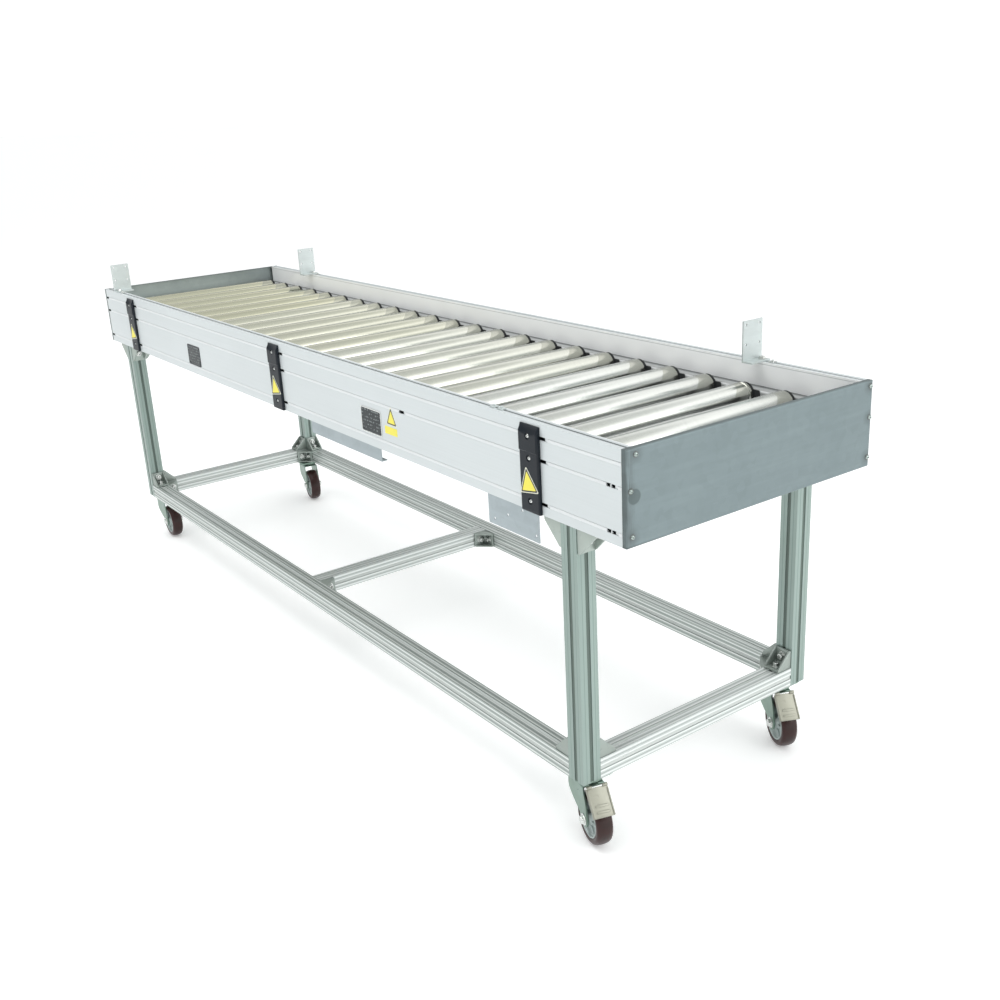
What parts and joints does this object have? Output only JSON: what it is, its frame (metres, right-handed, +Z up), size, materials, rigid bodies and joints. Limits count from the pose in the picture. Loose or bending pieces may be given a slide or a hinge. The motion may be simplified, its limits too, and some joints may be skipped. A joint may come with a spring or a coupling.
{
  "type": "gravity roller conveyor",
  "caption": "Bed of free-turning steel rollers between deep slotted aluminium rails, on a profile stand with swivel casters and foot brakes.",
  "frame": {"origin": "on the floor under the middle of the overall box", "axes": "+X along the bed towards the end with the brake pedals, +Z up, -Y towards the side with the black cover strips"},
  "size_m": [2.4116, 0.5954, 0.8583],
  "materials": {
    "anodised_rail": "clear anodised",
    "slotted_profile": "satin anodised",
    "end_sheet": "galvanised",
    "roller_tube": "bright zinc plated",
    "caster_plated": "zinc plated",
    "wheel_tread": "moulded",
    "pedal_sheet": "zinc plated",
    "black_moulding": "fine grain",
    "bracket_sheet": "light grey",
    "hanging_sheet": "satin grey"
  },
  "bodies": {
    "frame": {"rail_near": "anodised_rail", "rail_far": "anodised_rail", "end_plate_left": "end_sheet", "end_plate_right": "end_sheet", "leg_near_left": "slotted_profile", "leg_near_right": "slotted_profile", "leg_far_left": "slotted_profile", "leg_far_right": "slotted_profile", "beam_near": "slotted_profile", "beam_far": "slotted_profile", "cross_beam_left": "slotted_profile", "cross_beam_middle": "slotted_profile", "cross_beam_right": "slotted_profile", "bed_tie": "slotted_profile", "caster_head_near_left": "caster_plated", "caster_head_far_left": "caster_plated", "caster_head_near_right": "caster_plated", "caster_head_far_right": "caster_plated", "cover_strip_left": "black_moulding", "cover_strip_middle": "black_moulding", "cover_strip_right": "black_moulding", "stop_bracket_near_left": "bracket_sheet", "stop_bracket_far_left": "bracket_sheet", "stop_bracket_far_right": "bracket_sheet", "wiring_cover": "hanging_sheet", "junction_plate": "hanging_sheet"},
    "pedal_near_right": {"brake_pedal_near_right": "pedal_sheet"},
    "pedal_far_right": {"brake_pedal_far_right": "pedal_sheet"},
    "swivel_near_left": {"caster_fork_near_left": "caster_plated"},
    "swivel_far_left": {"caster_fork_far_left": "caster_plated"},
    "swivel_near_right": {"caster_fork_near_right": "caster_plated"},
    "swivel_far_right": {"caster_fork_far_right": "caster_plated"},
    "wheel_near_left": {"caster_wheel_near_left": "wheel_tread"},
    "wheel_far_left": {"caster_wheel_far_left": "wheel_tread"},
    "wheel_near_right": {"caster_wheel_near_right": "wheel_tread"},
    "wheel_far_right": {"caster_wheel_far_right": "wheel_tread"},
    "roller_01_body": {"roller_01": "roller_tube"},
    "roller_02_body": {"roller_02": "roller_tube"},
    "roller_03_body": {"roller_03": "roller_tube"},
    "roller_04_body": {"roller_04": "roller_tube"},
    "roller_05_body": {"roller_05": "roller_tube"},
    "roller_06_body": {"roller_06": "roller_tube"},
    "roller_07_body": {"roller_07": "roller_tube"},
    "roller_08_body": {"roller_08": "roller_tube"},
    "roller_09_body": {"roller_09": "roller_tube"},
    "roller_10_body": {"roller_10": "roller_tube"},
    "roller_11_body": {"roller_11": "roller_tube"},
    "roller_12_body": {"roller_12": "roller_tube"},
    "roller_13_body": {"roller_13": "roller_tube"},
    "roller_14_body": {"roller_14": "roller_tube"},
    "roller_15_body": {"roller_15": "roller_tube"},
    "roller_16_body": {"roller_16": "roller_tube"},
    "roller_17_body": {"roller_17": "roller_tube"},
    "roller_18_body": {"roller_18": "roller_tube"},
    "roller_19_body": {"roller_19": "roller_tube"},
    "roller_20_body": {"roller_20": "roller_tube"},
    "roller_21_body": {"roller_21": "roller_tube"},
    "roller_22_body": {"roller_22": "roller_tube"},
    "roller_23_body": {"roller_23": "roller_tube"},
    "roller_24_body": {"roller_24": "roller_tube"}
  },
  "joints": [
    {"name": "brake_pedal_near_right", "type": "hinge", "parent": "swivel_near_right", "child": "pedal_near_right", "pos_m": [1.08464, -0.26178, 0.1202], "axis": [-0.2924, -0.9563, 0], "range_deg": [0, 20]},
    {"name": "brake_pedal_far_right", "type": "hinge", "parent": "swivel_far_right", "child": "pedal_far_right", "pos_m": [1.0822, 0.23902, 0.1202], "axis": [-0.4384, -0.8988, 0], "range_deg": [0, 20]},
    {"name": "swivel_near_left", "type": "hinge", "parent": "frame", "child": "swivel_near_left", "pos_m": [-1.044, -0.24935, 0.13], "axis": [0, 0, 1], "continuous": true},
    {"name": "swivel_far_left", "type": "hinge", "parent": "frame", "child": "swivel_far_left", "pos_m": [-1.044, 0.25765, 0.13], "axis": [0, 0, 1], "continuous": true},
    {"name": "swivel_near_right", "type": "hinge", "parent": "frame", "child": "swivel_near_right", "pos_m": [1.044, -0.24935, 0.13], "axis": [0, 0, 1], "continuous": true},
    {"name": "swivel_far_right", "type": "hinge", "parent": "frame", "child": "swivel_far_right", "pos_m": [1.044, 0.25765, 0.13], "axis": [0, 0, 1], "continuous": true},
    {"name": "wheel_near_left", "type": "hinge", "parent": "swivel_near_left", "child": "wheel_near_left", "pos_m": [-1.01204, -0.25102, 0.05], "axis": [0.0523, 0.9986, 0], "continuous": true},
    {"name": "wheel_far_left", "type": "hinge", "parent": "swivel_far_left", "child": "wheel_far_left", "pos_m": [-1.0127, 0.251, 0.05], "axis": [0.2079, 0.9781, 0], "continuous": true},
    {"name": "wheel_near_right", "type": "hinge", "parent": "swivel_near_right", "child": "wheel_near_right", "pos_m": [1.0746, -0.25871, 0.05], "axis": [0.2924, 0.9563, 0], "continuous": true},
    {"name": "wheel_far_right", "type": "hinge", "parent": "swivel_far_right", "child": "wheel_far_right", "pos_m": [1.07276, 0.24362, 0.05], "axis": [0.4384, 0.8988, 0], "continuous": true},
    {"name": "roller_01_spin", "type": "hinge", "parent": "frame", "child": "roller_01_body", "pos_m": [-1.15, 0.00415, 0.717], "axis": [0, 1, 0], "continuous": true},
    {"name": "roller_02_spin", "type": "hinge", "parent": "frame", "child": "roller_02_body", "pos_m": [-1.05, 0.00415, 0.717], "axis": [0, 1, 0], "continuous": true},
    {"name": "roller_03_spin", "type": "hinge", "parent": "frame", "child": "roller_03_body", "pos_m": [-0.95, 0.00415, 0.717], "axis": [0, 1, 0], "continuous": true},
    {"name": "roller_04_spin", "type": "hinge", "parent": "frame", "child": "roller_04_body", "pos_m": [-0.85, 0.00415, 0.717], "axis": [0, 1, 0], "continuous": true},
    {"name": "roller_05_spin", "type": "hinge", "parent": "frame", "child": "roller_05_body", "pos_m": [-0.75, 0.00415, 0.717], "axis": [0, 1, 0], "continuous": true},
    {"name": "roller_06_spin", "type": "hinge", "parent": "frame", "child": "roller_06_body", "pos_m": [-0.65, 0.00415, 0.717], "axis": [0, 1, 0], "continuous": true},
    {"name": "roller_07_spin", "type": "hinge", "parent": "frame", "child": "roller_07_body", "pos_m": [-0.55, 0.00415, 0.717], "axis": [0, 1, 0], "continuous": true},
    {"name": "roller_08_spin", "type": "hinge", "parent": "frame", "child": "roller_08_body", "pos_m": [-0.45, 0.00415, 0.717], "axis": [0, 1, 0], "continuous": true},
    {"name": "roller_09_spin", "type": "hinge", "parent": "frame", "child": "roller_09_body", "pos_m": [-0.35, 0.00415, 0.717], "axis": [0, 1, 0], "continuous": true},
    {"name": "roller_10_spin", "type": "hinge", "parent": "frame", "child": "roller_10_body", "pos_m": [-0.25, 0.00415, 0.717], "axis": [0, 1, 0], "continuous": true},
    {"name": "roller_11_spin", "type": "hinge", "parent": "frame", "child": "roller_11_body", "pos_m": [-0.15, 0.00415, 0.717], "axis": [0, 1, 0], "continuous": true},
    {"name": "roller_12_spin", "type": "hinge", "parent": "frame", "child": "roller_12_body", "pos_m": [-0.05, 0.00415, 0.717], "axis": [0, 1, 0], "continuous": true},
    {"name": "roller_13_spin", "type": "hinge", "parent": "frame", "child": "roller_13_body", "pos_m": [0.05, 0.00415, 0.717], "axis": [0, 1, 0], "continuous": true},
    {"name": "roller_14_spin", "type": "hinge", "parent": "frame", "child": "roller_14_body", "pos_m": [0.15, 0.00415, 0.717], "axis": [0, 1, 0], "continuous": true},
    {"name": "roller_15_spin", "type": "hinge", "parent": "frame", "child": "roller_15_body", "pos_m": [0.25, 0.00415, 0.717], "axis": [0, 1, 0], "continuous": true},
    {"name": "roller_16_spin", "type": "hinge", "parent": "frame", "child": "roller_16_body", "pos_m": [0.35, 0.00415, 0.717], "axis": [0, 1, 0], "continuous": true},
    {"name": "roller_17_spin", "type": "hinge", "parent": "frame", "child": "roller_17_body", "pos_m": [0.45, 0.00415, 0.717], "axis": [0, 1, 0], "continuous": true},
    {"name": "roller_18_spin", "type": "hinge", "parent": "frame", "child": "roller_18_body", "pos_m": [0.55, 0.00415, 0.717], "axis": [0, 1, 0], "continuous": true},
    {"name": "roller_19_spin", "type": "hinge", "parent": "frame", "child": "roller_19_body", "pos_m": [0.65, 0.00415, 0.717], "axis": [0, 1, 0], "continuous": true},
    {"name": "roller_20_spin", "type": "hinge", "parent": "frame", "child": "roller_20_body", "pos_m": [0.75, 0.00415, 0.717], "axis": [0, 1, 0], "continuous": true},
    {"name": "roller_21_spin", "type": "hinge", "parent": "frame", "child": "roller_21_body", "pos_m": [0.85, 0.00415, 0.717], "axis": [0, 1, 0], "continuous": true},
    {"name": "roller_22_spin", "type": "hinge", "parent": "frame", "child": "roller_22_body", "pos_m": [0.95, 0.00415, 0.717], "axis": [0, 1, 0], "continuous": true},
    {"name": "roller_23_spin", "type": "hinge", "parent": "frame", "child": "roller_23_body", "pos_m": [1.05, 0.00415, 0.717], "axis": [0, 1, 0], "continuous": true},
    {"name": "roller_24_spin", "type": "hinge", "parent": "frame", "child": "roller_24_body", "pos_m": [1.15, 0.00415, 0.717], "axis": [0, 1, 0], "continuous": true}
  ]
}
